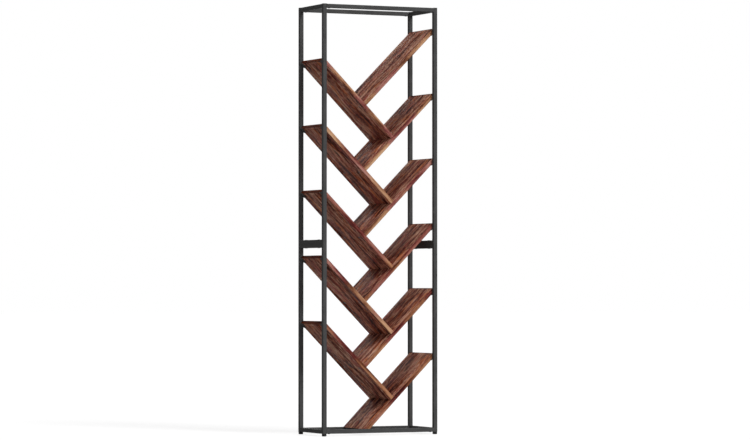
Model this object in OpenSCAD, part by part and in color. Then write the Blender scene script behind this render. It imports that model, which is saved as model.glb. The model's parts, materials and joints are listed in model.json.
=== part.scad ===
// Tree bookshelf: a tall frame of square steel tube in two halves, crossed by shelf boards
// that slope at 45 degrees, alternately down to the right and down to the left.
// Millimetres, +Z up. The origin is on the floor, under the middle of the frame.
// +X is to the right of someone who faces the front, and -Y is the front.

/* [Overall] */
// Height from the floor to the top of the caps
overall_height = 1700; // [1620:5:1780]
// Width over the left and right posts
overall_width = 500; // [470:5:540]
// Depth over the front and back posts
overall_depth = 240; // [200:5:300]

/* [Steel tube] */
// Outer width of the square tube
tube_size = 16; // [14.5:0.5:18]
// Wall of the tube
tube_wall = 1.2; // [1:0.1:1.6]
// Outer radius of the tube's corners
tube_corner = 1.5; // [1:0.1:2.2]
// Diameter of the drain hole under each closed crossbar
drain_hole_diameter = 5; // [3:0.5:7]

/* [Shelves] */
// Thickness of the shelf boards
board_thickness = 15; // [12:0.5:18]
// Gap between a long edge of a board and the posts beside it
board_side_gap = 0.5; // [0.3:0.1:0.9]
// Drop from the top of the caps to the outer end of the highest right shelf
highest_shelf_drop = 82.5; // [68:0.5:106]
// Height of the outer end of the lowest right shelf
lowest_shelf_height = 323; // [295:1:348]
// How much higher a right shelf ends than the left shelf that it stands on
right_shelf_lead = 130; // [116:1:142]
// How far the lower corner of a shelf's outer end stays inside the frame's outer face
shelf_end_inset = 2.4; // [2.2:0.1:3.6]

/* [Side frames] */
// Rise from the outer end of the fourth left shelf to the split between the frame halves
split_rise = 45; // [38:1:56]
// Length of the spigot that joins a lower post to an upper post
spigot_length = 60; // [40:2:100]
// Gap all round between the tube's inside and a spigot, stub, plug or insert
plug_gap = 0.2; // [0.1:0.05:0.4]
// Distance of the frame joining bolts from the middle of the depth
joining_bolt_offset = 60; // [35:1:75]

/* [Shelf tabs] */
// Reach of a welded shelf tab, in from its post or rail
tab_reach = 20; // [17:1:28]
// Length of a tab along the shelf's slope
tab_length = 24; // [20:1:28]
// Thickness of a tab
tab_thickness = 2; // [1.5:0.25:3]

/* [Rail joints] */
// Length of the stub on a post that the end of a long rail slips over
stub_length = 25; // [18:1:40]
// Gap between the end of a long rail and its post
rail_end_gap = 0.2; // [0.1:0.1:0.6]
// Distance of a rail screw from its post
rail_screw_offset = 12; // [8:0.5:13]

/* [Caps and feet] */
// Thickness of the cap on a post
cap_thickness = 1; // [0.8:0.1:2]
// Depth of the cap's plug in the post
cap_plug_depth = 8; // [6:0.5:14]
// Diameter of a foot pad
foot_diameter = 18.5; // [15:0.5:22]
// Height of a foot pad
foot_height = 10; // [8:0.5:14]
// Radius round the foot pad's lower edge
foot_rounding = 3; // [1:0.5:4]
// Diameter of the foot's threaded stud
stud_diameter = 6; // [5:0.5:7]
// Length of the stud above the foot pad
stud_rise = 18; // [16:1:22]
// Depth of the stud in the foot pad
stud_seat_depth = 5; // [3:0.5:6]
// Height of the threaded insert in the end of a post
insert_height = 20; // [18:1:30]
// Radial gap between a thread and its hole
thread_gap = 0.05; // [0.02:0.01:0.09]

/* [Fasteners] */
// Diameter of a frame joining bolt
joining_bolt_diameter = 6; // [5:0.5:7]
// Outer diameter of the sleeve nut that takes a joining bolt
sleeve_diameter = 8.5; // [8:0.5:10]
// Diameter of the flat heads of the joining bolts and sleeve nuts
flat_head_diameter = 11; // [10.5:0.5:14]
// Thickness of those flat heads
flat_head_thickness = 1; // [0.8:0.1:2.4]
// Width across the flats of those heads' hex sockets
flat_socket_width = 4; // [3:0.5:5]
// Diameter of a rail screw
rail_screw_diameter = 5; // [4:0.5:6]
// Diameter of a rail screw's head
rail_head_diameter = 9; // [8:0.5:11]
// Thickness of a rail screw's head
rail_head_thickness = 1.5; // [1.25:0.25:3]
// Diameter of the screw that holds one shelf's end to another shelf
end_screw_diameter = 5; // [4:0.5:6]
// Length of an end screw
end_screw_length = 50; // [40:1:70]
// Diameter of an end screw's countersunk head
end_head_diameter = 10; // [8.5:0.5:12]
// Distance of an end screw from the board's long edge
end_screw_inset = 35; // [20:1:60]
// Diameter of a tab screw
tab_screw_diameter = 4; // [3:0.5:5]
// Length of a tab screw under its head
tab_screw_length = 12; // [9:0.5:13]
// Diameter of a tab screw's head
tab_head_diameter = 7.6; // [6.5:0.2:9]
// Thickness of a tab screw's head
tab_head_thickness = 2.2; // [1.5:0.1:3]
// Width across the flats of the hex sockets of the rail, end and tab screws
screw_socket_width = 2.5; // [2:0.25:3]
// Radial gap between a screw and the hole that it passes or grips
screw_gap = 0.15; // [0.05:0.05:0.4]

/* [Hidden] */
$fn = 48;

// Sides of the frame, as signs of X and of Y
LEFT = -1;
RIGHT = 1;
FRONT = -1;
BACK = 1;
// The shelves slope at 45 degrees, so that one stands square on the next
slope = 45;
// Pairs of shelves, each a right shelf that stands on a left one; one more right shelf
// stands on the bottom rails
pair_count = 5;
last_right = pair_count + 1;
// The left shelf below the split between the frame halves
split_shelf = 4;
// How deep a welded piece reaches into the tube's wall, and how far a cutter clears a face
weld_bite = tube_wall / 2;
past = 1;
// Share of a head's thickness that its hex socket is sunk
socket_share = 0.6;
// Least radius of a corner inside the tube
least_corner = 0.2;
// Board left over the hole of the tab screw under the lowest right shelf
seat_cover = 1.5;

// Colours of the coated tube, the boards, the screws, bare steel, plastic and rubber
COATED = [0.2, 0.2, 0.21];
BOARD = [0.42, 0.27, 0.22];
BLACKENED = [0.14, 0.14, 0.15];
BARE = [0.52, 0.52, 0.54];
PLASTIC = [0.12, 0.12, 0.12];
RUBBER = [0.1, 0.1, 0.1];

// Places of the posts, as distances from the middle
post_x = overall_width / 2 - tube_size / 2;
post_y = overall_depth / 2 - tube_size / 2;
inner_x = overall_width / 2 - tube_size;
inner_y = overall_depth / 2 - tube_size;
post_bottom = foot_height;
post_top = overall_height - cap_thickness;

// Inside of the tube
bore_size = tube_size - 2 * tube_wall;
bore_corner = max(tube_corner - tube_wall, least_corner);
plug_size = bore_size - 2 * plug_gap;
rail_length = 2 * (inner_x - rail_end_gap);

// Heights of the shelves' outer upper corners, counted down from the highest pair
pitch = (overall_height - highest_shelf_drop - lowest_shelf_height) / pair_count;
function shelf_top(side, k) = overall_height - highest_shelf_drop - (k - 1) * pitch
  - (side == LEFT ? right_shelf_lead : 0);
split_z = shelf_top(LEFT, split_shelf) + split_rise;

// A board's thickness, as steps across and down
thick = board_thickness / sqrt(2);
// Distance of the upper corner of a shelf's outer end from the middle of the width
outer_x = overall_width / 2 - shelf_end_inset - thick;
board_depth = 2 * (inner_y - board_side_gap);
// Height at which the lowest right shelf is cut level, on the tabs of the bottom rails
seat_z = post_bottom + tube_size - tube_corner;

// Where a right shelf's upper face meets the left shelf that it stands on, and where a
// left shelf's upper face meets the right shelf below
right_foot_x = -right_shelf_lead / 2;
left_foot_x = (pitch - right_shelf_lead) / 2;
// How far the lowest right shelf comes down to its level cut, and where that cut starts
seat_fall = shelf_top(RIGHT, last_right) - seat_z;
seat_x = outer_x - seat_fall;
// Depth of a tab screw's hole in a board, and its place on the level cut, where the
// sloping upper face is still clear of it
tab_hole_depth = tab_screw_length - tab_thickness + screw_gap;
seat_screw_x = seat_x + tab_hole_depth + tab_screw_diameter / 2 + seat_cover;

// Points of a shelf in X and Z, with Z counted from the upper corner of its outer end.
// Upper corners of the outer and inner ends:
function outer_corner(side) = [side * outer_x, 0];
function inner_corner(side, k) =
  side == LEFT ? [left_foot_x, -outer_x - left_foot_x]
  : k < last_right ? [right_foot_x, -outer_x + right_foot_x]
  : [seat_x, -seat_fall];
// Steps from the upper face to the underside, and along the board to its inner end
function under(side) = [side, -1] * thick;
function inward(side) = [-side, -1] / sqrt(2);
// Middle of the inner end, and the underside point where the tab screw enters
function inner_middle(side, k) = inner_corner(side, k) + under(side) / 2;
function tab_point(side) = outer_corner(side) + under(side) + inward(side) * tab_length / 2;
// Underside points of the end screws: those that come up through the shelf into the one
// that stands on it, and those that come from the shelf below into its own inner end
function carried_point(side, k) =
  side == LEFT ? inner_middle(RIGHT, k) + [0, right_shelf_lead] + under(LEFT)
  : inner_middle(LEFT, k - 1) + [0, pitch - right_shelf_lead] + under(RIGHT);
function carrier_point(side, k) = inner_middle(side, k) + under(-side);

// Distances of the screws from the middle of the depth
tab_screw_y = inner_y - tab_reach / 2;
end_screw_y = board_depth / 2 - end_screw_inset;

// The joining bolts end inside their sleeve nuts, which end under the upper crossbar
sleeve_length = tube_size - plug_gap;
bolt_reach = 2 * tube_size - 2 * tube_wall;

module rounded_square(size, radius) {
  square([size, size - 2 * radius], center = true);
  square([size - 2 * radius, size], center = true);
  for (x = [-1, 1], y = [-1, 1])
    translate([x, y] * (size / 2 - radius)) circle(r = radius);
}

// Bars of tube section from z = 0 up, along +Z
module tube_outside(length) {
  linear_extrude(height = length) rounded_square(tube_size, tube_corner);
}

module tube_inside(length) {
  linear_extrude(height = length) rounded_square(bore_size, bore_corner);
}

module plug_bar(length) {
  linear_extrude(height = length) rounded_square(plug_size, bore_corner);
}

// Place children that point along +Z so that they point along +Y or along +X
module along_y() {
  rotate([-90, 0, 0]) children();
}

module along_x() {
  rotate([0, 90, 0]) children();
}

// Place children at X, Z and turn their +Z square into the underside of a shelf
module into_underside(side, point, y) {
  translate([point[0], y, point[1]]) rotate([0, -side * slope, 0]) children();
}

// Hex socket sunk from z = 0 down into a head
module socket(width, depth) {
  translate([0, 0, -depth]) cylinder(d = width / cos(30), h = depth + past, $fn = 6);
}

// Plate under a shelf, welded to a tube's inner face at y = inner_y
module shelf_tab(side, depth_side) {
  mid_y = depth_side * (inner_y + (weld_bite - tab_reach) / 2);
  difference() {
    into_underside(side, tab_point(side), mid_y)
      translate([0, 0, -tab_thickness / 2])
        cube([tab_length, tab_reach + weld_bite, tab_thickness], center = true);
    into_underside(side, tab_point(side), depth_side * tab_screw_y)
      cylinder(r = tab_screw_diameter / 2 + screw_gap, h = 2 * (tab_thickness + past),
        center = true);
  }
}

// Half of a ladder frame: two posts, two crossbars, tabs for shelves and stubs for rails
module side_frame(side, bottom, top, stub_z, shelves, bolt_z, bolt_radius, drain_z) {
  bar_z = [bottom + tube_size / 2, top - tube_size / 2];
  difference() {
    union() {
      for (y = [FRONT, BACK])
        translate([side * post_x, y * post_y, bottom]) tube_outside(top - bottom);
      for (z = bar_z)
        translate([side * post_x, -inner_y - tube_corner, z])
          along_y() tube_outside(2 * (inner_y + tube_corner));
      for (y = [FRONT, BACK]) {
        for (k = shelves) translate([0, 0, shelf_top(side, k)]) shelf_tab(side, y);
        translate([side * (inner_x - (stub_length - weld_bite) / 2), y * post_y, stub_z])
          cube([stub_length + weld_bite, plug_size, plug_size], center = true);
      }
    }
    for (y = [FRONT, BACK]) {
      translate([side * post_x, y * post_y, bottom - past]) tube_inside(top - bottom + 2 * past);
      translate([side * (inner_x - rail_screw_offset), y * post_y, stub_z])
        cylinder(r = rail_screw_diameter / 2 + thread_gap, h = tube_size, center = true);
      translate([side * post_x, y * joining_bolt_offset, bolt_z])
        cylinder(r = bolt_radius, h = tube_size + 2 * past, center = true);
    }
    for (z = bar_z)
      translate([side * post_x, -inner_y, z]) along_y() tube_inside(2 * inner_y);
    translate([side * post_x, 0, drain_z])
      cylinder(d = drain_hole_diameter, h = 2 * (tube_wall + past), center = true);
  }
}

module lower_side_frame(side) {
  color(COATED)
    side_frame(side, post_bottom, split_z, post_bottom + tube_size / 2,
      side == LEFT ? [split_shelf : pair_count] : [split_shelf + 1 : last_right],
      split_z - tube_size / 2, sleeve_diameter / 2 + screw_gap, post_bottom);
}

module upper_side_frame(side) {
  color(COATED)
    side_frame(side, split_z, post_top, post_top - tube_size / 2,
      side == LEFT ? [1 : split_shelf - 1] : [1 : split_shelf],
      split_z + tube_size / 2, joining_bolt_diameter / 2 + screw_gap, post_top - tube_size);
}

// Long tube across the front or back, open at both ends
module long_rail(depth_side, z) {
  translate([0, depth_side * post_y, z])
    difference() {
      children();
      translate([-rail_length / 2 - past, 0, 0])
        along_x() tube_inside(rail_length + 2 * past);
      for (x = [LEFT, RIGHT])
        translate([x * (inner_x - rail_screw_offset), 0, -tube_size / 2])
          cylinder(r = rail_screw_diameter / 2 + screw_gap, h = 2 * (tube_wall + past),
            center = true);
    }
}

module rail_bar() {
  translate([-rail_length / 2, 0, 0]) along_x() tube_outside(rail_length);
}

module top_rail(depth_side) {
  color(COATED) long_rail(depth_side, post_top - tube_size / 2) rail_bar();
}

// A bottom rail has a level tab on its inner face, which the lowest right shelf stands on
module bottom_rail(depth_side) {
  middle_z = post_bottom + tube_size / 2;
  color(COATED)
    difference() {
      long_rail(depth_side, middle_z)
        union() {
          rail_bar();
          translate([
            seat_screw_x, -depth_side * (tube_size + tab_reach - weld_bite) / 2,
            seat_z - tab_thickness / 2 - middle_z
          ])
            cube([tab_length, tab_reach + weld_bite, tab_thickness], center = true);
        }
      translate([seat_screw_x, depth_side * tab_screw_y, seat_z])
        cylinder(r = tab_screw_diameter / 2 + screw_gap, h = 2 * (tab_thickness + past),
          center = true);
    }
}

// Outline of a shelf in X and Z; only the lowest right shelf has a level inner end
module shelf_outline(side, k) {
  outer = outer_corner(side);
  inner = inner_corner(side, k);
  level_end = side == RIGHT && k == last_right;
  polygon([
    outer, outer + under(side),
    inner + (level_end ? [2 * thick, 0] : under(side)), inner
  ]);
}

// Holes of one end screw: through the first board and into the end of the second
module end_screw_hole(side, point, y) {
  into_underside(side, point, y) {
    translate([0, 0, -past]) cylinder(r = end_screw_diameter / 2 + screw_gap,
      h = end_screw_length + past + screw_gap);
    translate([0, 0, -screw_gap])
      cylinder(d1 = end_head_diameter + 2 * screw_gap, d2 = end_screw_diameter + 2 * screw_gap,
        h = (end_head_diameter - end_screw_diameter) / 2 + screw_gap);
  }
}

module shelf(side, k) {
  stands_on_shelf = side == LEFT || k < last_right;
  carries_shelf = side == LEFT || k > 1;
  color(BOARD)
    translate([0, 0, shelf_top(side, k)])
      difference() {
        rotate([90, 0, 0])
          linear_extrude(height = board_depth, center = true) shelf_outline(side, k);
        for (y = [FRONT, BACK]) {
          into_underside(side, tab_point(side), y * tab_screw_y) tab_screw_hole();
          if (carries_shelf) end_screw_hole(side, carried_point(side, k), y * end_screw_y);
          if (stands_on_shelf) end_screw_hole(-side, carrier_point(side, k), y * end_screw_y);
          else translate([seat_screw_x, y * tab_screw_y, -seat_fall]) tab_screw_hole();
        }
      }
}

// Blind hole for a tab screw, from the face at z = 0 up into the board
module tab_screw_hole() {
  translate([0, 0, -past])
    cylinder(r = tab_screw_diameter / 2 + screw_gap, h = tab_hole_depth + past);
}

// Screw with a round flat head below z = 0 and its shank up along +Z
module headed_screw(diameter, length, head_diameter, head_thickness) {
  difference() {
    union() {
      cylinder(d = diameter, h = length);
      translate([0, 0, -head_thickness]) cylinder(d = head_diameter, h = head_thickness);
    }
    translate([0, 0, -head_thickness]) mirror([0, 0, 1])
      socket(screw_socket_width, socket_share * head_thickness);
  }
}

// Screw with a countersunk head whose face is at z = 0, and its shank up along +Z
module end_screw() {
  head_depth = (end_head_diameter - end_screw_diameter) / 2;
  difference() {
    union() {
      cylinder(d = end_screw_diameter, h = end_screw_length);
      cylinder(d1 = end_head_diameter, d2 = end_screw_diameter, h = head_depth);
    }
    mirror([0, 0, 1]) socket(screw_socket_width, head_depth);
  }
}

module shelf_end_screws() {
  color(BLACKENED)
    for (k = [1 : pair_count], y = [FRONT, BACK]) {
      translate([0, 0, shelf_top(LEFT, k)])
        into_underside(LEFT, carried_point(LEFT, k), y * end_screw_y) end_screw();
      translate([0, 0, shelf_top(RIGHT, k + 1)])
        into_underside(RIGHT, carried_point(RIGHT, k + 1), y * end_screw_y) end_screw();
    }
}

module tab_screw() {
  translate([0, 0, -tab_thickness])
    headed_screw(tab_screw_diameter, tab_screw_length, tab_head_diameter, tab_head_thickness);
}

module shelf_tab_screws() {
  color(BLACKENED)
    for (y = [FRONT, BACK]) {
      for (side = [LEFT, RIGHT], k = [1 : side == LEFT ? pair_count : last_right])
        translate([0, 0, shelf_top(side, k)])
          into_underside(side, tab_point(side), y * tab_screw_y) tab_screw();
      translate([seat_screw_x, y * tab_screw_y, seat_z]) tab_screw();
    }
}

module rail_screws() {
  color(BLACKENED)
    for (x = [LEFT, RIGHT], y = [FRONT, BACK], z = [post_bottom, post_top - tube_size])
      translate([x * (inner_x - rail_screw_offset), y * post_y, z])
        headed_screw(rail_screw_diameter, tube_size - tube_wall - plug_gap,
          rail_head_diameter, rail_head_thickness);
}

module post_joint_spigots() {
  color(BARE)
    for (x = [LEFT, RIGHT], y = [FRONT, BACK])
      translate([x * post_x, y * post_y, split_z - spigot_length / 2]) plug_bar(spigot_length);
}

// Flat headed bolts go down through the upper crossbar, into sleeve nuts that come up
// through the lower one
module at_joining_bolts(z) {
  for (x = [LEFT, RIGHT], y = [FRONT, BACK])
    translate([x * post_x, y * joining_bolt_offset, z]) children();
}

module frame_joining_bolts() {
  color(BLACKENED)
    at_joining_bolts(split_z + tube_size)
      difference() {
        union() {
          translate([0, 0, -bolt_reach]) cylinder(d = joining_bolt_diameter, h = bolt_reach);
          cylinder(d = flat_head_diameter, h = flat_head_thickness);
        }
        translate([0, 0, flat_head_thickness])
          socket(flat_socket_width, socket_share * flat_head_thickness);
      }
}

module frame_joining_nuts() {
  color(BLACKENED)
    at_joining_bolts(split_z - tube_size)
      difference() {
        union() {
          cylinder(d = sleeve_diameter, h = sleeve_length);
          translate([0, 0, -flat_head_thickness])
            cylinder(d = flat_head_diameter, h = flat_head_thickness);
        }
        translate([0, 0, tube_wall])
          cylinder(r = joining_bolt_diameter / 2 + thread_gap, h = sleeve_length);
        translate([0, 0, -flat_head_thickness]) mirror([0, 0, 1])
          socket(flat_socket_width, socket_share * flat_head_thickness);
      }
}

module post_top_caps() {
  color(PLASTIC)
    for (x = [LEFT, RIGHT], y = [FRONT, BACK])
      translate([x * post_x, y * post_y, post_top]) {
        tube_outside(cap_thickness);
        translate([0, 0, -cap_plug_depth]) plug_bar(cap_plug_depth);
      }
}

module foot_inserts() {
  color(PLASTIC)
    for (x = [LEFT, RIGHT], y = [FRONT, BACK])
      translate([x * post_x, y * post_y, post_bottom])
        difference() {
          plug_bar(insert_height);
          translate([0, 0, -past])
            cylinder(r = stud_diameter / 2 + thread_gap, h = insert_height + 2 * past);
        }
}

// Round pad with a rounded lower edge and a blind hole for its stud
module foot_pad(x, y) {
  radius = foot_diameter / 2;
  color(RUBBER)
    translate([x * post_x, y * post_y, 0])
      difference() {
        rotate_extrude() {
          translate([0, foot_rounding]) square([radius, foot_height - foot_rounding]);
          square([radius - foot_rounding, foot_height]);
          translate([radius - foot_rounding, foot_rounding]) circle(r = foot_rounding);
        }
        translate([0, 0, foot_height - stud_seat_depth])
          cylinder(r = stud_diameter / 2 + thread_gap, h = stud_seat_depth + past);
      }
}

module foot_stud(x, y) {
  color(BARE)
    translate([x * post_x, y * post_y, foot_height - stud_seat_depth])
      cylinder(d = stud_diameter, h = stud_seat_depth + stud_rise);
}

lower_side_frame(LEFT);  // lower_left_side_frame
lower_side_frame(RIGHT);  // lower_right_side_frame
upper_side_frame(LEFT);  // upper_left_side_frame
upper_side_frame(RIGHT);  // upper_right_side_frame
bottom_rail(FRONT);  // bottom_front_rail
bottom_rail(BACK);  // bottom_back_rail
top_rail(FRONT);  // top_front_rail
top_rail(BACK);  // top_back_rail
shelf(LEFT, 1);  // left_shelf_1
shelf(LEFT, 2);  // left_shelf_2
shelf(LEFT, 3);  // left_shelf_3
shelf(LEFT, 4);  // left_shelf_4
shelf(LEFT, 5);  // left_shelf_5
shelf(RIGHT, 1);  // right_shelf_1
shelf(RIGHT, 2);  // right_shelf_2
shelf(RIGHT, 3);  // right_shelf_3
shelf(RIGHT, 4);  // right_shelf_4
shelf(RIGHT, 5);  // right_shelf_5
shelf(RIGHT, 6);  // right_shelf_6
post_joint_spigots();
frame_joining_bolts();
frame_joining_nuts();
rail_screws();
shelf_end_screws();
shelf_tab_screws();
post_top_caps();
foot_inserts();
foot_pad(LEFT, FRONT);  // front_left_foot_pad
foot_pad(RIGHT, FRONT);  // front_right_foot_pad
foot_pad(LEFT, BACK);  // back_left_foot_pad
foot_pad(RIGHT, BACK);  // back_right_foot_pad
foot_stud(LEFT, FRONT);  // front_left_foot_stud
foot_stud(RIGHT, FRONT);  // front_right_foot_stud
foot_stud(LEFT, BACK);  // back_left_foot_stud
foot_stud(RIGHT, BACK);  // back_right_foot_stud
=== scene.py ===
"""Tree bookshelf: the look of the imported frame, its boards, screws, feet and welds, in metres.

-Y is the front and +X the right of someone who faces it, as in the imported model.
"""
import bpy
import bmesh
import json
import math
import random
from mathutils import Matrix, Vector


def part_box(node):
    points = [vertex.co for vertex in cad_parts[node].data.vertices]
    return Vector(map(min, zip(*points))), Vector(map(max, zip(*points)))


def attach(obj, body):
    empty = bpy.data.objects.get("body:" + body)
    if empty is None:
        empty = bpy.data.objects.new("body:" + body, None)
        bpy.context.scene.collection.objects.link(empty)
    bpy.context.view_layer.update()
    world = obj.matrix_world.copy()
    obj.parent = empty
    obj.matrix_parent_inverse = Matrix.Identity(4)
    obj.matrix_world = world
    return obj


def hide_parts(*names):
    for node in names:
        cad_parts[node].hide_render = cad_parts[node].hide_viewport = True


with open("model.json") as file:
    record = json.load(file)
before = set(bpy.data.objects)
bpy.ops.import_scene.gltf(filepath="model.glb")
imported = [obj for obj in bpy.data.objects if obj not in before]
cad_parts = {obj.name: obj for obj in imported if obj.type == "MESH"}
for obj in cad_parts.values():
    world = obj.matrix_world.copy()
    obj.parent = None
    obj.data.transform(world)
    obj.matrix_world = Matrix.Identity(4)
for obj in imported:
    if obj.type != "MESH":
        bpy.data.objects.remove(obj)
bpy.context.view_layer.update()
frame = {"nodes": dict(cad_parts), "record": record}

MM = 0.001

# The camera stands low in front of the left end, turned 25 degrees to the right
CAMERA_PLACE = (-5.6823, -12.0643, 0.5791)
CAMERA_YAW = math.radians(25.343)
CAMERA_PITCH = math.radians(1.176)
CAMERA_LENS = 160.6
SENSOR_WIDTH = 36.0

# Signs of x and of y on each side
LEFT, RIGHT = -1, 1
FRONT, BACK = -1, 1
# Left and right shelves go in pairs, and one more right shelf stands below them
PAIRS = 5

# Sizes of the real parts
TUBE = 16 * MM
TUBE_CORNER = 1.5 * MM
TAB = 2 * MM
TAB_LENGTH = 24 * MM
BOARD = 15 * MM
BAND_RADIUS = 0.8 * MM
PLUG_HALF = 6.6 * MM
PLUG_CORNER = 0.3 * MM
FOOT_RADIUS = 9.25 * MM
FOOT_HEIGHT = 10 * MM
FOOT_ROUNDING = 3 * MM
STUD_HOLE = 3.05 * MM
WELD_RADIUS = 1.5 * MM
WELD_RIPPLE = 1.6 * MM
CROSSBAR_WELD = 11 * MM
TAB_WELD = (1.5 * MM, 16 * MM)
SEAT_WELD = 20 * MM

# Every shelf slopes at 45 degrees, so its steps across and down are this share of its length
SLOPE = math.sqrt(0.5)

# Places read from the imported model: the posts, the walls of the frame and its split
post_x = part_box("front_right_foot_pad")[1].x - FOOT_RADIUS
post_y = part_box("back_right_foot_pad")[1].y - FOOT_RADIUS
inner_x = post_x - TUBE / 2
inner_y = post_y - TUBE / 2
outer_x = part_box("right_shelf_1")[1].x - BOARD * SLOPE
post_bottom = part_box("lower_left_side_frame")[0].z
post_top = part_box("upper_left_side_frame")[1].z
split_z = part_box("upper_left_side_frame")[0].z

# How far the screws stand from the middle of the depth, and from the posts
TAB_SCREW_Y = inner_y - 10 * MM
END_SCREW_Y = 68.5 * MM
JOINING_BOLT_Y = 60 * MM
RAIL_SCREW_INSET = 12 * MM
SEAT_SCREW_X = -47.86 * MM
SEAT_Z = 24.5 * MM

# The laminate and the bands come off long printed rolls, and each piece is cut anywhere
PRINT_STEP = Vector((1.7, 0.43, 0))
PRINT_ROWS, PRINT_PLACES = 22, 10
prints = random.Random(156974)


def shelf_top(side, number):
    """Height of the upper corner of a shelf's outer end."""
    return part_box(f"{'left' if side == LEFT else 'right'}_shelf_{number}")[1].z


def cut_print(row):
    """Where in its row of the print the next piece is cut."""
    return (row + PRINT_ROWS * prints.randrange(PRINT_PLACES)) * PRINT_STEP


def shelf_axes(side):
    """Unit vectors of a shelf: inward along its slope, and out of its underside."""
    return Vector((-side * SLOPE, 0, -SLOPE)), Vector((side * SLOPE, 0, -SLOPE))


def linear(code):
    """An sRGB hex colour as the linear colour that a shader takes."""
    parts = [int(code[i:i + 2], 16) / 255 for i in (1, 3, 5)]
    return (*[c / 12.92 if c <= 0.04045 else ((c + 0.055) / 1.055) ** 2.4 for c in parts], 1)


def add(tree, kind, inputs=None, stops=None, **settings):
    """Add a node with its settings, its inputs as values or links, and any colour stops.

    A node given as an input is linked by its first output.
    """
    made = tree.nodes.new(kind)
    for name, value in settings.items():
        setattr(made, name, value)
    for key, value in (inputs or {}).items():
        if isinstance(value, bpy.types.Node):
            value = value.outputs[0]
        if isinstance(value, bpy.types.NodeSocket):
            tree.links.new(value, made.inputs[key])
        else:
            made.inputs[key].default_value = value
    if stops:
        ramp = made.color_ramp
        while len(ramp.elements) < len(stops):
            ramp.elements.new(1.0)
        for element, (place, code) in zip(ramp.elements, stops):
            element.position = place
            element.color = linear(code)
    return made


def new_material(name, constants):
    """A node material with one Principled shader, and the constants set on that shader."""
    material = bpy.data.materials.new(name)
    material.use_nodes = True
    tree = material.node_tree
    tree.nodes.clear()
    shader = add(tree, "ShaderNodeBsdfPrincipled", constants)
    add(tree, "ShaderNodeOutputMaterial", {"Surface": shader})
    return material, tree, shader


def grained(tree, place, length_mm, width_mm, detail, roughness):
    """Noise drawn out along the grain: its blots are about this long and this wide."""
    scaled = add(tree, "ShaderNodeVectorMath", {
        0: place, 1: (1000 / length_mm, 1000 / width_mm, 1000 / width_mm)},
        operation="MULTIPLY")
    return add(tree, "ShaderNodeTexNoise", {
        "Vector": scaled, "Scale": 1.0, "Detail": detail, "Roughness": roughness})


def speckled(tree, size_mm, detail, roughness=0.5):
    """Even noise on a piece's own coordinates, its blots about this wide."""
    place = add(tree, "ShaderNodeTexCoord").outputs["Object"]
    return add(tree, "ShaderNodeTexNoise", {
        "Vector": place, "Scale": 1000 / size_mm, "Detail": detail, "Roughness": roughness})


def moved(tree, tone, *changes):
    """A tone moved by patterns in turn, each given with its strength."""
    for pattern, strength in changes:
        tone = add(tree, "ShaderNodeMath", {0: pattern, 1: strength, 2: tone},
                   operation="MULTIPLY_ADD")
    return tone


def overlaid(tree, ground, *layers):
    """A colour with others laid on it in turn, each as (blend, how far, its colour)."""
    for blend, factor, colour in layers:
        ground = add(tree, "ShaderNodeMix", {"Factor": factor, "A": ground, "B": colour},
                     data_type="RGBA", blend_type=blend).outputs[2]
    return ground


def dress(tree, shader, colour, skin, rough, relief=None):
    """Give a shader its colour, a roughness range that its skin fills, and a relief.

    A relief is a (pattern, strength, depth) of the bumps.
    """
    roughness = add(tree, "ShaderNodeMapRange", {
        "Value": skin, "From Min": 0.3, "From Max": 0.7, "To Min": rough[0],
        "To Max": rough[1]})
    tree.links.new(colour, shader.inputs["Base Color"])
    tree.links.new(roughness.outputs[0], shader.inputs["Roughness"])
    if relief:
        pattern, strength, depth = relief
        bump = add(tree, "ShaderNodeBump", {
            "Height": pattern, "Strength": strength, "Distance": depth})
        tree.links.new(bump.outputs[0], shader.inputs["Normal"])


def pores(tree, place, strength):
    """How much the wood's pores lighten or darken: dashes 15 mm long and 0.7 mm wide."""
    return add(tree, "ShaderNodeMapRange", {
        "Value": grained(tree, place, 15, 0.7, 2.0, 0.6), "From Min": 0.3, "From Max": 0.7,
        "To Min": -strength, "To Max": strength})


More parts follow.
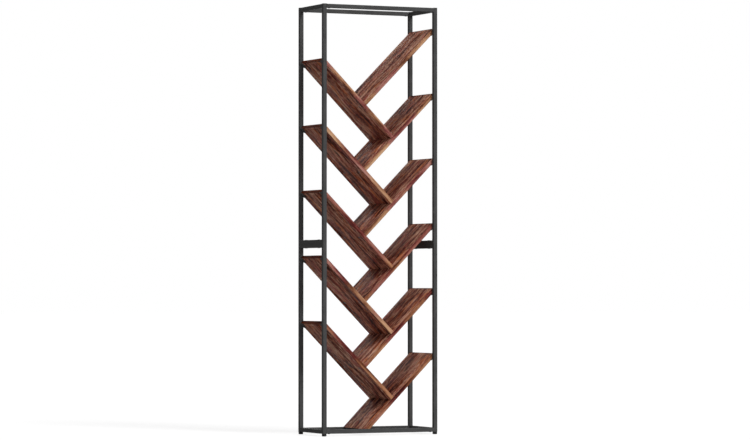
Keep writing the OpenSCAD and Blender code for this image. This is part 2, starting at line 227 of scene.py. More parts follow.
def make_laminate():
    """Melamine laminate printed as old planks: dark streaks, knots and a satin skin.

    The print gives warm red-brown streaks a hand long, knots that the grain bends round,
    and patches that lean to purple or to orange.
    """
    material, tree, shader = new_material("melamine_laminate_rustic_brown", {
        "IOR": 1.5, "Specular IOR Level": 0.04})
    place = add(tree, "ShaderNodeAttribute", attribute_name="grain").outputs["Vector"]
    # A knot in every 240 by 90 mm or so, and the push that bends the grain round it
    flat = add(tree, "ShaderNodeVectorMath", {0: place, 1: (1 / 0.24, 1 / 0.09, 0)},
               operation="MULTIPLY")
    knot = add(tree, "ShaderNodeTexVoronoi", {"Vector": flat, "Scale": 1.0})
    away = add(tree, "ShaderNodeVectorMath", {0: flat, 1: knot.outputs["Position"]},
               operation="SUBTRACT")
    bend = add(tree, "ShaderNodeMapRange", {
        "Value": knot, "From Min": 0.0, "From Max": 0.45, "To Min": -0.045, "To Max": 0.0})
    push = add(tree, "ShaderNodeVectorMath", {0: away, 3: bend}, operation="SCALE")
    push = add(tree, "ShaderNodeVectorMath", {0: push, 1: (0, 1, 0)}, operation="MULTIPLY")
    # The grain wanders sideways by up to 12 mm over a hand's length
    wander = add(tree, "ShaderNodeVectorMath", {0: place, 1: (6.0, 10.0, 10.0)},
                 operation="MULTIPLY")
    wander = add(tree, "ShaderNodeTexNoise", {"Vector": wander, "Scale": 1.0, "Detail": 2.0})
    wander = add(tree, "ShaderNodeVectorMath", {
        0: wander.outputs["Color"], 1: (0.0, 0.050, 0.010), 2: (0.0, -0.025, -0.005)},
        operation="MULTIPLY_ADD")
    for shift in (wander, push):
        place = add(tree, "ShaderNodeVectorMath", {0: place, 1: shift})

    fibres = grained(tree, place, 60, 3, 5.0, 0.6)
    flecks = grained(tree, place, 14, 8, 2.0, 0.5)
    streaks = grained(tree, place, 70, 14, 3.0, 0.5)
    planks = grained(tree, place, 210, 30, 1.0, 0.5)
    fine = add(tree, "ShaderNodeMix", {"Factor": 0.6, "A": fibres, "B": flecks})
    broad = add(tree, "ShaderNodeMix", {"Factor": 0.5, "A": streaks, "B": planks})
    tone = add(tree, "ShaderNodeMix", {"Factor": 0.62, "A": fine, "B": broad})
    tone = moved(tree, tone, (pores(tree, place, 0.045), 1.0))
    wood = add(tree, "ShaderNodeValToRGB", {"Fac": tone}, [
        (0.40, "#280f0c"), (0.45, "#683d31"), (0.50, "#a8725f"), (0.55, "#d1a087"),
        (0.62, "#e2bca2")])
    # Patches a finger long that lean to orange, and others that lean to maroon
    patches = grained(tree, place, 90, 28, 2.0, 0.5)
    orange = add(tree, "ShaderNodeMapRange", {
        "Value": patches, "From Min": 0.52, "From Max": 0.62, "To Max": 0.8})
    maroon = add(tree, "ShaderNodeMapRange", {
        "Value": patches, "From Min": 0.48, "From Max": 0.38, "To Max": 0.8})
    # The heart of a knot is nearly black
    heart = add(tree, "ShaderNodeMapRange", {
        "Value": knot, "From Min": 0.05, "From Max": 0.14, "To Min": 0.85, "To Max": 0.0},
        interpolation_type="SMOOTHSTEP")
    # Drying cracks: real ones are 0.3 mm wide, drawn 1.2 mm wide so that they show
    cracks = add(tree, "ShaderNodeMapRange", {
        "Value": grained(tree, place, 70, 1.2, 1.0, 0.5), "From Min": 0.66, "From Max": 0.72})
    # The glue line of the end band darkens the last 3 mm of the face
    from_end = add(tree, "ShaderNodeAttribute", attribute_name="from_end").outputs["Fac"]
    glue = add(tree, "ShaderNodeMapRange", {
        "Value": from_end, "From Min": 2 * MM, "From Max": 4.5 * MM, "To Min": 0.8,
        "To Max": 0.0})
    colour = overlaid(
        tree, wood, ("MULTIPLY", orange, linear("#f4b078")),
        ("MULTIPLY", maroon, linear("#dc9498")), ("MIX", heart, linear("#1e0b08")),
        ("MIX", cracks, linear("#180806")), ("MIX", glue, linear("#200c0a")))
    # The pressed grain is 0.1 mm deep
    dress(tree, shader, colour, fibres, (0.58, 0.7), (fibres, 0.5, 0.1 * MM))
    return material


def make_edge_band(name, shade, gloss, lift=0.0):
    """ABS edge band with the same print, sliced: tan, pink-red and dark red in long waves.

    Every band goes dark red a hand's breadth from the board's outer end and tan towards its inner
    end, set by the distance from the outer end. Shade darkens it all, and lift makes the tones
    paler.
    """
    material, tree, shader = new_material(name, {"IOR": 1.5, "Specular IOR Level": gloss})
    place = add(tree, "ShaderNodeAttribute", attribute_name="grain").outputs["Vector"]
    from_end = add(tree, "ShaderNodeAttribute", attribute_name="from_end").outputs["Fac"]
    redder, tanner = [
        add(tree, "ShaderNodeMapRange", {"Value": from_end, "From Min": low, "From Max": high},
            interpolation_type="SMOOTHSTEP")
        for low, high in ((0.08, 0.14), (0.25, 0.33))]
    waves = grained(tree, place, 120, 13, 2.0, 0.5)
    streaks = grained(tree, place, 16, 3.0, 3.0, 0.6)
    tone = add(tree, "ShaderNodeMix", {"Factor": 0.3, "A": waves, "B": streaks})
    # A dark line runs a third of the way down the band, and a pale one below the middle
    depth = add(tree, "ShaderNodeSeparateXYZ", {"Vector": place}).outputs["Z"]
    line = add(tree, "ShaderNodeMath", {0: moved(tree, 0.0, (depth, math.tau / BOARD))},
               operation="SINE")
    tone = moved(
        tree, 0.208 + lift, (tone, 0.6), (redder, -0.018), (tanner, 0.035), (line, -0.028),
        (pores(tree, place, 0.03), 1.0))
    tan = add(tree, "ShaderNodeValToRGB", {"Fac": tone}, [
        (0.38, "#3a180e"), (0.45, "#774832"), (0.50, "#9e6e51"), (0.55, "#bb8b6a"),
        (0.63, "#d6aa84")])
    red = add(tree, "ShaderNodeValToRGB", {"Fac": tone}, [
        (0.38, "#381314"), (0.45, "#6e3230"), (0.50, "#92564e"), (0.55, "#ac7468"),
        (0.63, "#c29488")])
    # Stretches a hand or two long are tan, and those between them pink-red
    leaning = moved(tree, grained(tree, place, 150, 150, 0.0, 0.5),
                    (redder, -0.05), (tanner, 0.11))
    tan_share = add(tree, "ShaderNodeMapRange", {
        "Value": leaning, "From Min": 0.44, "From Max": 0.54})
    colour = overlaid(tree, red, ("MIX", tan_share, tan), ("MULTIPLY", 1.0, linear(shade)))
    dress(tree, shader, colour, streaks, (0.48, 0.6), (streaks, 0.4, 0.08 * MM))
    return material


def make_core():
    """Particle board where a screw hole cuts it: pale brown chips 1 to 3 mm across."""
    material, tree, shader = new_material("particle_board_core", {"Roughness": 0.9})
    place = add(tree, "ShaderNodeTexCoord").outputs["Object"]
    chips = add(tree, "ShaderNodeTexVoronoi", {"Vector": place, "Scale": 1000 / 2.0})
    shades = add(tree, "ShaderNodeValToRGB", {"Fac": chips}, [
        (0.0, "#8d6a45"), (0.5, "#b48d60"), (1.0, "#6e4f33")])
    tree.links.new(shades.outputs[0], shader.inputs["Base Color"])
    return material


def make_powder_coat():
    """Matt black polyester powder coat: charcoal under light, with a fine orange-peel skin."""
    material, tree, shader = new_material("powder_coat_matt_black", {
        "Specular IOR Level": 0.03})
    # The real skin has 0.4 mm bumps; 1.2 mm is the finest that a near view can show
    peel = speckled(tree, 1.2, 2.0)
    clouds = speckled(tree, 45, 3.0, 0.55)
    shades = add(tree, "ShaderNodeValToRGB", {"Fac": clouds}, [
        (0.35, "#494949"), (0.65, "#515151")])
    dress(tree, shader, shades.outputs[0], clouds, (0.6, 0.72), (peel, 0.15, 0.03 * MM))
    return material


def make_black_oxide():
    """Black oxide on steel screws: near black, with a dull metal glint and brown worn spots."""
    material, tree, shader = new_material("black_oxide_steel", {"Metallic": 0.85})
    wear = speckled(tree, 1.5, 3.0)
    shades = add(tree, "ShaderNodeValToRGB", {"Fac": wear}, [
        (0.4, "#2b2b2e"), (0.6, "#3b3a3b"), (0.72, "#55504b")])
    dress(tree, shader, shades.outputs[0], wear, (0.38, 0.55))
    return material


def make_zinc_plate():
    """Bright zinc plate: pale blue-grey metal with cloudy patches a few millimetres wide."""
    material, tree, shader = new_material("bright_zinc_plated_steel", {"Metallic": 1.0})
    clouds = speckled(tree, 4, 3.0)
    shades = add(tree, "ShaderNodeValToRGB", {"Fac": clouds}, [
        (0.35, "#a7abb0"), (0.65, "#c9ccd0")])
    dress(tree, shader, shades.outputs[0], clouds, (0.26, 0.42))
    return material


def make_moulded(name, dark, light, rough, grain_mm, specular):
    """A moulded black plastic or rubber: a fine spark-eroded skin that dulls its gloss."""
    material, tree, shader = new_material(name, {
        "IOR": 1.49, "Specular IOR Level": specular})
    grain = speckled(tree, grain_mm, 2.0)
    shades = add(tree, "ShaderNodeValToRGB", {"Fac": grain}, [(0.35, dark), (0.65, light)])
    dress(tree, shader, shades.outputs[0], grain, (rough - 0.06, rough + 0.06),
          (grain, 0.3, 0.04 * MM))
    return material


laminate = make_laminate()
light_band = make_edge_band("abs_edge_band_red_brown", "#ffffff", 0.05)
# Darker tint: the tone of single boards, and painted shade where it marks the lowest right
# shelves
dark_tone_and_shade_band = make_edge_band("abs_edge_band_dark_red", "#e4d2cc", 0.05)
pale_band = make_edge_band("abs_edge_band_tan", "#ffffff", 0.05, lift=0.028)
# The bands of these shelves differ in tone from board to board: darker, and on left shelf 2
# paler. The darker band on the three lowest right shelves is also painted shade, as the lower
# shelves stand in more shade.
band_of = dict.fromkeys(
    [(LEFT, 3), (LEFT, 5), (RIGHT, 4), (RIGHT, 5), (RIGHT, 6)], dark_tone_and_shade_band)
band_of[LEFT, 2] = pale_band
# The boards' outer ends are far darker than their long edges in the same light
end_band = make_edge_band("abs_end_band_dark_maroon", "#885840", 0.01)
core = make_core()
finishes = {
    "powder_coated_steel": make_powder_coat(),
    "laminated_board": laminate,
    "blackened_steel": make_black_oxide(),
    "zinc_plated_steel": make_zinc_plate(),
    # Polypropylene: a soft sheen. Rubber: dusty and dull.
    "black_plastic": make_moulded(
        "moulded_black_polypropylene", dark="#1f1f20", light="#29292a", rough=0.5,
        grain_mm=0.8, specular=0.3),
    "black_rubber": make_moulded(
        "moulded_black_rubber", dark="#232323", light="#2e2d2d", rough=0.8, grain_mm=1.0,
        specular=0.15),
}
slot_of = {part["node"]: part["material_slot"] for part in frame["record"]["subparts"]}
for node, slot in slot_of.items():
    materials = frame["nodes"][node].data.materials
    materials.clear()
    materials.append(finishes[slot])

# A board's own material slots, in order
FACE, LONG_BAND, HOLE, END_BAND = range(4)


def finish_piece(piece, body, *nodes):
    """Let a piece ride on its body in place of CAD nodes, and hide those nodes."""
    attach(piece, body)
    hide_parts(*nodes)


def make_board(side, number):
    """A shelf board with rounded edge bands, laminate faces and its screw holes."""
    node = f"{'left' if side == LEFT else 'right'}_shelf_{number}"
    inward, under = shelf_axes(side)
    corner = Vector((side * outer_x, 0, shelf_top(side, number)))
    bm = bmesh.new()
    bm.from_mesh(frame["nodes"][node].data)
    bmesh.ops.remove_doubles(bm, verts=bm.verts, dist=0.002 * MM)
    outer_edges = [
        e for e in bm.edges
        if len(e.link_faces) == 2 and e.calc_length() > BOARD / 3
        and e.calc_face_angle() > math.radians(30)]
    bmesh.ops.bevel(bm, geom=outer_edges, offset=BAND_RADIUS, segments=3, profile=0.5,
                    affect="EDGES", clamp_overlap=True)
    bm.normal_update()
    low = min((v.co - corner).dot(inward) for v in bm.verts)
    high = max((v.co - corner).dot(inward) for v in bm.verts)
    half_depth = max(v.co.y for v in bm.verts)
    skin, hole_area = 0.05 * MM, 60 * MM * MM
    for face in bm.faces:
        place = face.calc_center_median() - corner
        flat = abs(face.normal.dot(under)) > 0.99
        # Inside a screw hole: away from all six outer faces
        if (skin < place.dot(under) < BOARD - skin
                and abs(place.y) < half_depth - BAND_RADIUS
                and low + BAND_RADIUS < place.dot(inward) < high - BAND_RADIUS
                and face.calc_area() < hole_area):
            face.material_index = HOLE
        elif flat:
            face.material_index = FACE
        else:
            across_end = abs(face.normal.dot(inward)) > 0.7
            face.material_index = END_BAND if across_end else LONG_BAND
        face.smooth = not flat
    mesh = bpy.data.meshes.new(node + "_board")
    bm.to_mesh(mesh)
    bm.free()
    row = number if side == LEFT else PAIRS + number
    face_print, band_print = cut_print(row), cut_print(row + PRINT_ROWS // 2)
    turned_over = side == LEFT and number in (1, 3)
    mesh.attributes.new("grain", "FLOAT_VECTOR", "CORNER")
    mesh.attributes.new("from_end", "FLOAT", "CORNER")
    grain, from_end = mesh.attributes["grain"], mesh.attributes["from_end"]
    for face in mesh.polygons:
        stretch = face_print if face.material_index == FACE else band_print
        for loop in face.loop_indices:
            place = mesh.vertices[mesh.loops[loop].vertex_index].co - corner
            along, across, depth = place.dot(inward), place.y, place.dot(under)
            from_end.data[loop].value = along
            # On the end bands the print runs across
            if face.material_index == END_BAND:
                along, across = across, along
            if turned_over:
                depth = BOARD - depth
            grain.data[loop].vector = stretch + Vector((along, across, depth))
    band = band_of.get((side, number), light_band)
    for material in (laminate, band, core, end_band):
        mesh.materials.append(material)
    mesh.set_sharp_from_angle(angle=math.radians(35))
    board = bpy.data.objects.new(node + "_board", mesh)
    bpy.context.scene.collection.objects.link(board)
    finish_piece(board, "frame", node)


def circle(radius):
    """A ring's shape: the radius at every angle of a circle."""
    return lambda angle: radius


def flats(count, width):
    """A ring's shape: a regular polygon of this width across its flats."""
    step = math.tau / count
    return lambda angle: width / 2 / math.cos((angle + step / 2) % step - step / 2)


def soft_square(half, corner):
    """A ring's shape: a square of this half width, with rounded corners."""
    def radius(angle):
        x, y = sorted((abs(math.cos(angle)), abs(math.sin(angle))), reverse=True)
        if half * y / x <= half - corner:
            return half / x
        centre = half - corner
        reach = (x + y) * centre
        return reach + math.sqrt(reach ** 2 - 2 * centre ** 2 + corner ** 2)
    return radius


def thread(core_radius, crest_radius, pitch, height, sharp):
    """A ring's shape in a screw thread; a sharp of 2 gives a V, and more a thin crest."""
    def radius(angle):
        turn = (height / pitch - angle / math.tau) % 1
        rise = max(0.0, 1 - sharp * abs(turn - 0.5))
        return core_radius + (crest_radius - core_radius) * rise
    return radius


def threaded(start, end, core_radius, crest_radius, pitch, sharp=2):
    """Rings of a thread from one height to another, five to a turn."""
    count = round((end - start) / pitch * 5)
    heights = [start + (end - start) * i / count for i in range(count + 1)]
    return [(z, thread(core_radius, crest_radius, pitch, z, sharp)) for z in heights]


def loft(name, rings, per_ring=24, hollow=False):
    """A mesh through rings of (height, shape), with closed ends, or joined end to end."""
    bm = bmesh.new()
    angles = [math.tau * i / per_ring for i in range(per_ring)]
    loops = []
    for height, shape in rings:
        radii = [shape(a) for a in angles]
        loops.append([bm.verts.new((r * math.cos(a), r * math.sin(a), height))
                      for a, r in zip(angles, radii)])
    for near, far in zip(loops, loops[1:] + (loops[:1] if hollow else [])):
        for i in range(per_ring):
            j = (i + 1) % per_ring
            bm.faces.new((near[i], near[j], far[j], far[i]))
    if not hollow:
        bm.faces.new(loops[0])
        bm.faces.new(loops[-1])
    bmesh.ops.recalc_face_normals(bm, faces=bm.faces)
    for face in bm.faces:
        face.smooth = True
    mesh = bpy.data.meshes.new(name)
    bm.to_mesh(mesh)
    bm.free()
    mesh.set_sharp_from_angle(angle=math.radians(38))
    return mesh


def socket_head(width, thickness, socket):
    """Rings of a flat head under z = 0, from its hex socket's floor to its upper face."""
    low = -thickness
    return [
        (low + 0.6 * thickness, flats(6, socket)), (low + 0.1 * MM, flats(6, socket)),
        (low, flats(6, socket + 0.2 * MM)), (low, circle(width / 2 - 0.5 * MM)),
        (low + 0.15 * MM, circle(width / 2 - 0.15 * MM)),
        (low + 0.5 * MM, circle(width / 2)), (-0.1 * MM, circle(width / 2)),
        (0, circle(width / 2 - 0.1 * MM))]


def end_screw_mesh():
    """Long countersunk wood screw: a plain neck through one board and a coarse thread."""
    return loft("end_screw", [
        (1.9 * MM, flats(6, 2.5 * MM)), (0.1 * MM, flats(6, 2.5 * MM)),
        (0, flats(6, 2.7 * MM)), (0, circle(4.75 * MM)), (0.2 * MM, circle(4.8 * MM)),
        (2.5 * MM, circle(2.5 * MM)), (14 * MM, circle(2.45 * MM)),
        (15 * MM, circle(1.7 * MM)),
        *threaded(15.5 * MM, 47 * MM, 1.7 * MM, 2.5 * MM, 3 * MM, sharp=3.5),
        (48 * MM, circle(1.5 * MM)), (50 * MM, circle(0.4 * MM))])


def tab_screw_mesh():
    """Short pan-headed wood screw that holds a board down on its tab."""
    return loft("tab_screw", [
        *[(z - TAB, shape) for z, shape in socket_head(
            width=7.6 * MM, thickness=2.2 * MM, socket=2.5 * MM)],
        (-TAB, circle(2 * MM)), (0.2 * MM, circle(1.3 * MM)),
        *threaded(0.4 * MM, 8.6 * MM, 1.3 * MM, 2 * MM, 1.6 * MM, sharp=3.5),
        (9 * MM, circle(1.1 * MM)), (10 * MM, circle(0.3 * MM))])


def machine_screw_mesh(name, head_width, head_thickness, socket, length, radius, pitch):
    """Machine screw with a flat head, a fine thread and a chamfered tip."""
    core = radius - 0.6 * pitch
    return loft(name, [
        *socket_head(head_width, head_thickness, socket), (0, circle(radius)),
        (1 * MM, circle(radius)), (1.2 * MM, circle(core)),
        *threaded(1.3 * MM, length - 0.8 * MM, core, radius, pitch),
        (length - 0.6 * MM, circle(core)), (length, circle(core - 0.4 * MM))])


def sleeve_nut_mesh():
    """Sleeve nut: a bored barrel on a flat head with a hex socket."""
    barrel, bore, height = 4.25 * MM, 3.05 * MM, 15.8 * MM
    head = reversed(socket_head(width=11 * MM, thickness=1 * MM, socket=4 * MM))
    return loft("sleeve_nut", [
        (1.2 * MM, circle(bore)), (height - 0.4 * MM, circle(bore)),
        (height, circle(bore + 0.4 * MM)), (height, circle(barrel - 0.2 * MM)),
        (height - 0.2 * MM, circle(barrel)), (0, circle(barrel)), *head])


def post_cap_mesh():
    """Cap with a low dome, and a plug with three thin fins that grip the tube's wall."""
    fins = []
    for z in (-7.2, -4.8, -2.4):
        fins += [(z * MM, soft_square(PLUG_HALF - 0.9 * MM, PLUG_CORNER)),
                 (z * MM, soft_square(PLUG_HALF - 0.1 * MM, PLUG_CORNER)),
                 ((z + 0.3) * MM, soft_square(PLUG_HALF, PLUG_CORNER)),
                 ((z + 0.9) * MM, soft_square(PLUG_HALF - 0.9 * MM, PLUG_CORNER))]
    half = TUBE / 2
    return loft("post_cap", [
        (-8 * MM, soft_square(PLUG_HALF - 1.2 * MM, PLUG_CORNER)), *fins,
        (0, soft_square(PLUG_HALF - 0.9 * MM, PLUG_CORNER)),
        (0, soft_square(half - 0.1 * MM, TUBE_CORNER)),
        (0.1 * MM, soft_square(half, TUBE_CORNER)), (0.5 * MM, soft_square(half, TUBE_CORNER)),
        (0.75 * MM, soft_square(half - 0.12 * MM, TUBE_CORNER)),
        (0.9 * MM, soft_square(half - 0.5 * MM, TUBE_CORNER)),
        (0.97 * MM, soft_square(half - 1.5 * MM, TUBE_CORNER)),
        (1.0 * MM, soft_square(half - 3.5 * MM, TUBE_CORNER))], per_ring=48)


def foot_insert_mesh():
    """Bored plug in a post's lower end, with fins that grip the tube's wall."""
    fins = []
    for z in (3, 7.5, 12, 16.5):
        fins += [(z * MM, soft_square(PLUG_HALF, PLUG_CORNER)),
                 ((z + 0.8) * MM, soft_square(PLUG_HALF, PLUG_CORNER)),
                 ((z + 1.2) * MM, soft_square(PLUG_HALF - 0.7 * MM, PLUG_CORNER)),
                 ((z + 4.1) * MM, soft_square(PLUG_HALF - 0.7 * MM, PLUG_CORNER))]
    fins = fins[:-1] + [(19.6 * MM, soft_square(PLUG_HALF - 0.7 * MM, PLUG_CORNER))]
    return loft("foot_insert", [
        (0.3 * MM, circle(STUD_HOLE)), (0, circle(STUD_HOLE + 0.3 * MM)),
        (0, soft_square(PLUG_HALF - 0.2 * MM, PLUG_CORNER)),
        (0.2 * MM, soft_square(PLUG_HALF, PLUG_CORNER)), *fins,
        (20 * MM, soft_square(PLUG_HALF - 1.1 * MM, PLUG_CORNER)),
        (20 * MM, circle(STUD_HOLE))], per_ring=48, hollow=True)


def foot_pad_mesh():
    """Moulded round pad: a hole for its stud, a groove, a rounded foot and a hollow sole."""
    r, top = FOOT_RADIUS, FOOT_HEIGHT
    turn = [math.radians(a) for a in range(0, 91, 15)]
    rounding = [(FOOT_ROUNDING * (1 - math.sin(a)), circle(r - FOOT_ROUNDING * (1 - math.cos(a))))
                for a in turn]
    return loft("foot_pad", [
        (top - 5 * MM, circle(STUD_HOLE)), (top - 0.3 * MM, circle(STUD_HOLE)),
        (top, circle(STUD_HOLE + 0.3 * MM)), (top, circle(r - 0.6 * MM)),
        (top - 0.2 * MM, circle(r - 0.2 * MM)), (top - 0.6 * MM, circle(r)),
        (7.6 * MM, circle(r)), (7.4 * MM, circle(r - 0.35 * MM)),
        (6.9 * MM, circle(r - 0.35 * MM)), (6.7 * MM, circle(r)), *rounding,
        (0, circle(4.6 * MM)), (0.5 * MM, circle(4.1 * MM))], per_ring=48)


def foot_stud_mesh():
    """Threaded stud of a levelling foot, M6, chamfered at both ends."""
    return loft("foot_stud", [
        (5 * MM, circle(2.2 * MM)), (5.4 * MM, circle(2.5 * MM)),
        *threaded(5.6 * MM, 27.2 * MM, 2.45 * MM, 3 * MM, 1 * MM),
        (27.4 * MM, circle(2.45 * MM)), (28 * MM, circle(2.0 * MM))])


def new_tree(name, sockets):
    """An empty Geometry Nodes tree with named sockets, and its input node."""
    tree = bpy.data.node_groups.new(name, "GeometryNodeTree")
    for label, direction, kind in sockets:
        tree.interface.new_socket(label, in_out=direction, socket_type="NodeSocket" + kind)
    return tree, add(tree, "NodeGroupInput").outputs


def make_placing_tree():
    """Copies of one shape on a mesh's points, turned as each point says, as one mesh.

    Each copy is also turned on its own axis by up to Loose Turn, as hand-driven screws end.
    """
    tree, given = new_tree("place_copies", [
        ("Places", "INPUT", "Geometry"), ("Shape", "INPUT", "Object"),
        ("Finish", "INPUT", "Material"), ("Loose Turn", "INPUT", "Float"),
        ("Mesh", "OUTPUT", "Geometry")])
    turn = add(tree, "GeometryNodeInputNamedAttribute", {"Name": "turn"},
               data_type="FLOAT_VECTOR")
    shape = add(tree, "GeometryNodeObjectInfo", {"Object": given["Shape"]})
    copies = add(tree, "GeometryNodeInstanceOnPoints", {
        "Points": given["Places"], "Instance": shape.outputs["Geometry"], "Rotation": turn})
    loose = add(tree, "FunctionNodeRandomValue", {
        "Min": 0.0, "Max": given["Loose Turn"], "Seed": 7}, data_type="FLOAT")
    axis_turn = add(tree, "ShaderNodeCombineXYZ", {"Z": loose.outputs[1]})
    turned = add(tree, "GeometryNodeRotateInstances", {
        "Instances": copies, "Rotation": axis_turn, "Local Space": True})
    real = add(tree, "GeometryNodeRealizeInstances", {"Geometry": turned})
    done = add(tree, "GeometryNodeSetMaterial", {
        "Geometry": real, "Material": given["Finish"]})
    add(tree, "NodeGroupOutput", {"Mesh": done})
    return tree


def make_weld_tree():
    """A row of overlapping flattened drops along each edge of a mesh: a weld bead."""
    tree, given = new_tree("weld_beads", [
        ("Seams", "INPUT", "Geometry"), ("Finish", "INPUT", "Material"),
        ("Bead Radius", "INPUT", "Float"), ("Ripple Pitch", "INPUT", "Float"),
        ("Mesh", "OUTPUT", "Geometry")])
    line = add(tree, "GeometryNodeMeshToCurve", {"Mesh": given["Seams"]})
    steps = add(tree, "GeometryNodeResampleCurve", {
        "Curve": line, "Length": given["Ripple Pitch"]}, mode="LENGTH")
    drop = add(tree, "GeometryNodeMeshUVSphere", {"Segments": 8, "Rings": 5, "Radius": 1.0})
    facing = add(tree, "FunctionNodeAlignRotationToVector", {
        "Vector": add(tree, "GeometryNodeInputTangent")}, axis="Z")
    vary = add(tree, "FunctionNodeRandomValue", {"Min": 0.88, "Max": 1.08, "Seed": 3},
               data_type="FLOAT")
    size = add(tree, "ShaderNodeMath", {0: given["Bead Radius"], 1: vary.outputs[1]},
               operation="MULTIPLY")
    size = add(tree, "ShaderNodeVectorMath", {0: (1.0, 1.0, 0.85), 3: size},
               operation="SCALE")
    drops = add(tree, "GeometryNodeInstanceOnPoints", {
        "Points": steps, "Instance": drop, "Rotation": facing, "Scale": size})
    real = add(tree, "GeometryNodeRealizeInstances", {"Geometry": drops})
    smooth = add(tree, "GeometryNodeSetShadeSmooth", {"Geometry": real})
    done = add(tree, "GeometryNodeSetMaterial", {
        "Geometry": smooth, "Material": given["Finish"]})
    add(tree, "NodeGroupOutput", {"Mesh": done})
    return tree


def grow(name, points, edges, tree, values, turns=()):
    """Run a Geometry Nodes tree on points and edges, and keep its result as a plain piece."""
    mesh = bpy.data.meshes.new(name + "_places")
    mesh.from_pydata([tuple(p) for p in points], edges, [])
    if turns:
        turn = mesh.attributes.new("turn", "FLOAT_VECTOR", "POINT")
        for item, value in zip(turn.data, turns):
            item.vector = value
    places = bpy.data.objects.new(name + "_places", mesh)
    bpy.context.scene.collection.objects.link(places)
    modifier = places.modifiers.new("grow", "NODES")
    modifier.node_group = tree
    for item in tree.interface.items_tree:
        if item.in_out == "INPUT" and item.name in values:
            modifier[item.identifier] = values[item.name]
    graph = bpy.context.evaluated_depsgraph_get()
    grown = bpy.data.meshes.new_from_object(places.evaluated_get(graph))
    places.modifiers.remove(modifier)
    bpy.data.objects.remove(places)
    bpy.data.meshes.remove(mesh)
    grown.name = name
    piece = bpy.data.objects.new(name, grown)
    bpy.context.scene.collection.objects.link(piece)
    return piece


placing_tree = make_placing_tree()
weld_tree = make_weld_tree()


def place_copies(name, shape, places, body, node, loose_turn=0.0):
    """Copies of a shape at (point, turn) places, in place of a CAD node."""
    pattern = bpy.data.objects.new(shape.name + "_pattern", shape)
    bpy.context.scene.collection.objects.link(pattern)
    points, turns = zip(*places)
    piece = grow(name, points, [], placing_tree, {
        "Shape": pattern, "Finish": finishes[slot_of[node]], "Loose Turn": loose_turn}, turns)
    bpy.data.objects.remove(pattern)
    finish_piece(piece, body, node)


def into_underside(side):
    """Turn that points a screw's shank square into a shelf's underside."""
    return (0, -side * math.pi / 4, 0)


def shelf_point(side, number, along, below, y):
    """A point this far along and below a shelf, from the upper corner of its outer end."""
    inward, under = shelf_axes(side)
    corner = Vector((side * outer_x, y, shelf_top(side, number)))
    return corner + inward * along + under * below


def end_screw_places():
    """Where the end screws enter the undersides of the shelves that carry others."""
    half_step = SLOPE * BOARD / 2
    places = []
    for number in range(1, PAIRS + 1):
        for y in (FRONT * END_SCREW_Y, BACK * END_SCREW_Y):
            # Up through a left shelf, into the foot of the right shelf on it
            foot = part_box(f"right_shelf_{number}")[0]
            middle = Vector((foot.x + half_step, y, foot.z + half_step))
            places.append((middle + shelf_axes(LEFT)[1] * BOARD, into_underside(LEFT)))
            # Up through the next right shelf, into the foot of the left shelf
            low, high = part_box(f"left_shelf_{number}")
            middle = Vector((high.x - half_step, y, low.z + half_step))
            places.append((middle + shelf_axes(RIGHT)[1] * BOARD, into_underside(RIGHT)))
    return places


def tab_screw_places():
    """Where the tab screws enter the undersides, and the level cut of the lowest shelf."""
    places = []
    for y in (FRONT * TAB_SCREW_Y, BACK * TAB_SCREW_Y):
        for side in (LEFT, RIGHT):
            for number in range(1, PAIRS + (2 if side == RIGHT else 1)):
                point = shelf_point(side, number, TAB_LENGTH / 2, BOARD, y)
                places.append((point, into_underside(side)))
        places.append((Vector((SEAT_SCREW_X, y, SEAT_Z)), (0, 0, 0)))
    return places


def at_corners(x, y, z, turn=(0, 0, 0)):
    """The same place in all four quarters of the frame."""
    return [(Vector((side * x, depth * y, z)), turn)
            for side in (LEFT, RIGHT) for depth in (FRONT, BACK)]


def weld_seams():
    """Ends of each weld: at the crossbars' inner corners and under the shelves' tabs."""
    seams = []
    for side in (LEFT, RIGHT):
        for depth in (FRONT, BACK):
            y = depth * inner_y
            for z in (post_bottom + TUBE, split_z - TUBE, split_z + TUBE, post_top - TUBE):
                seams.append([Vector((side * post_x + half, y, z))
                              for half in (-CROSSBAR_WELD / 2, CROSSBAR_WELD / 2)])
            for number in range(1, PAIRS + (2 if side == RIGHT else 1)):
                seams.append([shelf_point(side, number, along, BOARD + TAB, y)
                              for along in TAB_WELD])
    for depth in (FRONT, BACK):
        seams.append([Vector((SEAT_SCREW_X + half, depth * inner_y, SEAT_Z - TAB))
                      for half in (-SEAT_WELD / 2, SEAT_WELD / 2)])
    return seams


def make_welds():
    """The weld beads of all frame halves and rails, coated with the frame."""
    seams = weld_seams()
    points = [end for seam in seams for end in seam]
    edges = [(2 * i, 2 * i + 1) for i in range(len(seams))]
    beads = grow("frame_weld_beads", points, edges, weld_tree, {
        "Finish": finishes["powder_coated_steel"], "Bead Radius": WELD_RADIUS,
        "Ripple Pitch": WELD_RIPPLE})
    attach(beads, "frame")


def make_feet():
    """Pads and studs of the four levelling feet, each on its own body."""
    for side, side_name in ((LEFT, "left"), (RIGHT, "right")):
        for depth, depth_name in ((FRONT, "front"), (BACK, "back")):
            foot = f"{depth_name}_{side_name}_foot"
            place = [(Vector((side * post_x, depth * post_y, 0)), (0, 0, 0))]
            place_copies(foot + "_moulded_pad", foot_pad_mesh(), place, foot, foot + "_pad")
            place_copies(foot + "_thread", foot_stud_mesh(), place, foot, foot + "_stud")


for number in range(1, PAIRS + 1):
    make_board(LEFT, number)
for number in range(1, PAIRS + 2):
    make_board(RIGHT, number)

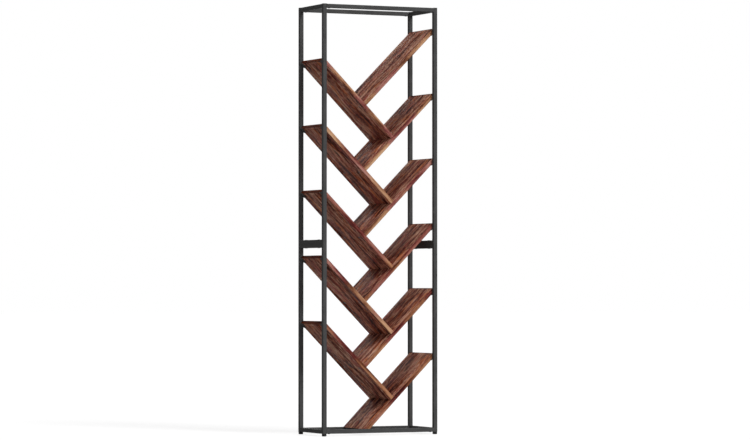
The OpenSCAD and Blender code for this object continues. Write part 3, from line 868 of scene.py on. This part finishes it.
# A sixth of a turn brings a hex socket round to the same place
hex_turn = math.tau / 6
place_copies("countersunk_end_screws", end_screw_mesh(), end_screw_places(),
             "frame", "shelf_end_screws", hex_turn)
place_copies("flat_head_tab_screws", tab_screw_mesh(), tab_screw_places(),
             "frame", "shelf_tab_screws", hex_turn)
rail_screw = machine_screw_mesh(
    "rail_screw", head_width=9 * MM, head_thickness=1.5 * MM, socket=2.5 * MM,
    length=14.6 * MM, radius=2.5 * MM, pitch=0.8 * MM)
place_copies("flat_head_rail_screws", rail_screw, [
    *at_corners(inner_x - RAIL_SCREW_INSET, post_y, post_bottom),
    *at_corners(inner_x - RAIL_SCREW_INSET, post_y, post_top - TUBE)],
    "frame", "rail_screws", hex_turn)
joining_bolt = machine_screw_mesh(
    "joining_bolt", head_width=11 * MM, head_thickness=1 * MM, socket=4 * MM,
    length=29.6 * MM, radius=3 * MM, pitch=1 * MM)
place_copies("flat_head_joining_bolts", joining_bolt,
             at_corners(post_x, JOINING_BOLT_Y, split_z + TUBE, (math.pi, 0, 0)),
             "frame", "frame_joining_bolts", hex_turn)
place_copies("flat_head_sleeve_nuts", sleeve_nut_mesh(),
             at_corners(post_x, JOINING_BOLT_Y, split_z - TUBE),
             "frame", "frame_joining_nuts", hex_turn)
place_copies("domed_post_caps", post_cap_mesh(), at_corners(post_x, post_y, post_top),
             "frame", "post_top_caps")
place_copies("finned_foot_inserts", foot_insert_mesh(), at_corners(post_x, post_y, post_bottom),
             "frame", "foot_inserts")
make_feet()
make_welds()

camera_data = bpy.data.cameras.new("photo_camera")
camera_data.lens = CAMERA_LENS
camera_data.sensor_width = SENSOR_WIDTH
camera_data.clip_end = 200
camera = bpy.data.objects.new("photo_camera", camera_data)
camera.location = CAMERA_PLACE
camera.rotation_euler = (math.pi / 2 + CAMERA_PITCH, 0, -CAMERA_YAW)
bpy.context.scene.collection.objects.link(camera)
bpy.context.scene.camera = camera

# Stage: a white floor that keeps a soft shadow, a white surround and soft lamps
scene = bpy.context.scene
scene.view_settings.view_transform = "Standard"


def seen_directly(tree):
    """1 for camera, glossy and transmission rays, and 0 for the light that falls on things."""
    rays = add(tree, "ShaderNodeLightPath").outputs
    seen = add(tree, "ShaderNodeMath", {0: rays["Is Camera Ray"], 1: rays["Is Glossy Ray"]},
               operation="MAXIMUM")
    return add(tree, "ShaderNodeMath", {0: seen, 1: rays["Is Transmission Ray"]},
               operation="MAXIMUM")


def make_studio():
    """White surround: dim as a light, and white where it is seen or mirrored."""
    world = bpy.data.worlds.new("white_studio")
    scene.world = world
    world.use_nodes = True
    tree = world.node_tree
    tree.nodes.clear()
    # Dimmer from the left, as beside a dark wall, so that the tubes' left faces go black
    towards = add(tree, "ShaderNodeTexCoord").outputs["Generated"]
    strength = add(tree, "ShaderNodeMapRange", {
        "Value": add(tree, "ShaderNodeSeparateXYZ", {"Vector": towards}).outputs["X"],
        "From Min": -1, "From Max": 1, "To Min": 0.03, "To Max": 0.35})
    lighting = add(tree, "ShaderNodeBackground", {
        "Color": linear("#ffffff"), "Strength": strength})
    backdrop = add(tree, "ShaderNodeBackground", {"Color": linear("#ffffff"), "Strength": 1.0})
    mixed = add(tree, "ShaderNodeMixShader", {
        0: seen_directly(tree), 1: lighting, 2: backdrop})
    add(tree, "ShaderNodeOutputWorld", {"Surface": mixed})


def make_floor():
    """Matt studio floor that shows as white, with the shadows left in."""
    mesh = bpy.data.meshes.new("floor")
    reach = 60.0
    mesh.from_pydata(
        [(-reach, -reach, 0), (reach, -reach, 0), (reach, reach, 0), (-reach, reach, 0)],
        [], [(0, 1, 2, 3)])
    floor = bpy.data.objects.new("floor", mesh)
    scene.collection.objects.link(floor)
    material = bpy.data.materials.new("white_studio_floor")
    material.use_nodes = True
    tree = material.node_tree
    tree.nodes.clear()
    matt = add(tree, "ShaderNodeBsdfDiffuse", {"Color": linear("#a4a4a4")})
    glow = add(tree, "ShaderNodeEmission", {"Color": linear("#ffffff"), "Strength": 0.76})
    bright = add(tree, "ShaderNodeAddShader", {0: matt, 1: glow})
    mixed = add(tree, "ShaderNodeMixShader", {0: seen_directly(tree), 1: matt, 2: bright})
    add(tree, "ShaderNodeOutputMaterial", {"Surface": mixed})
    mesh.materials.append(material)


def add_sun(name, azimuth, elevation, strength, spread):
    """A soft lamp far away, azimuth degrees to the right of the front."""
    data = bpy.data.lights.new(name, "SUN")
    data.energy = strength
    data.angle = math.radians(spread)
    lamp = bpy.data.objects.new(name, data)
    a, e = math.radians(azimuth), math.radians(elevation)
    towards = Vector((math.sin(a) * math.cos(e), -math.cos(a) * math.cos(e), math.sin(e)))
    lamp.rotation_euler = towards.to_track_quat("Z", "Y").to_euler()
    scene.collection.objects.link(lamp)


make_studio()
make_floor()
add_sun("key", azimuth=20, elevation=35, strength=1.85, spread=20)
add_sun("low_fill", azimuth=-22, elevation=8, strength=0.5, spread=40)
add_sun("high_fill", azimuth=-30, elevation=62, strength=0.5, spread=40)
# Lights the back, which the photo doesn't show
add_sun("back_fill", azimuth=150, elevation=15, strength=0.8, spread=40)
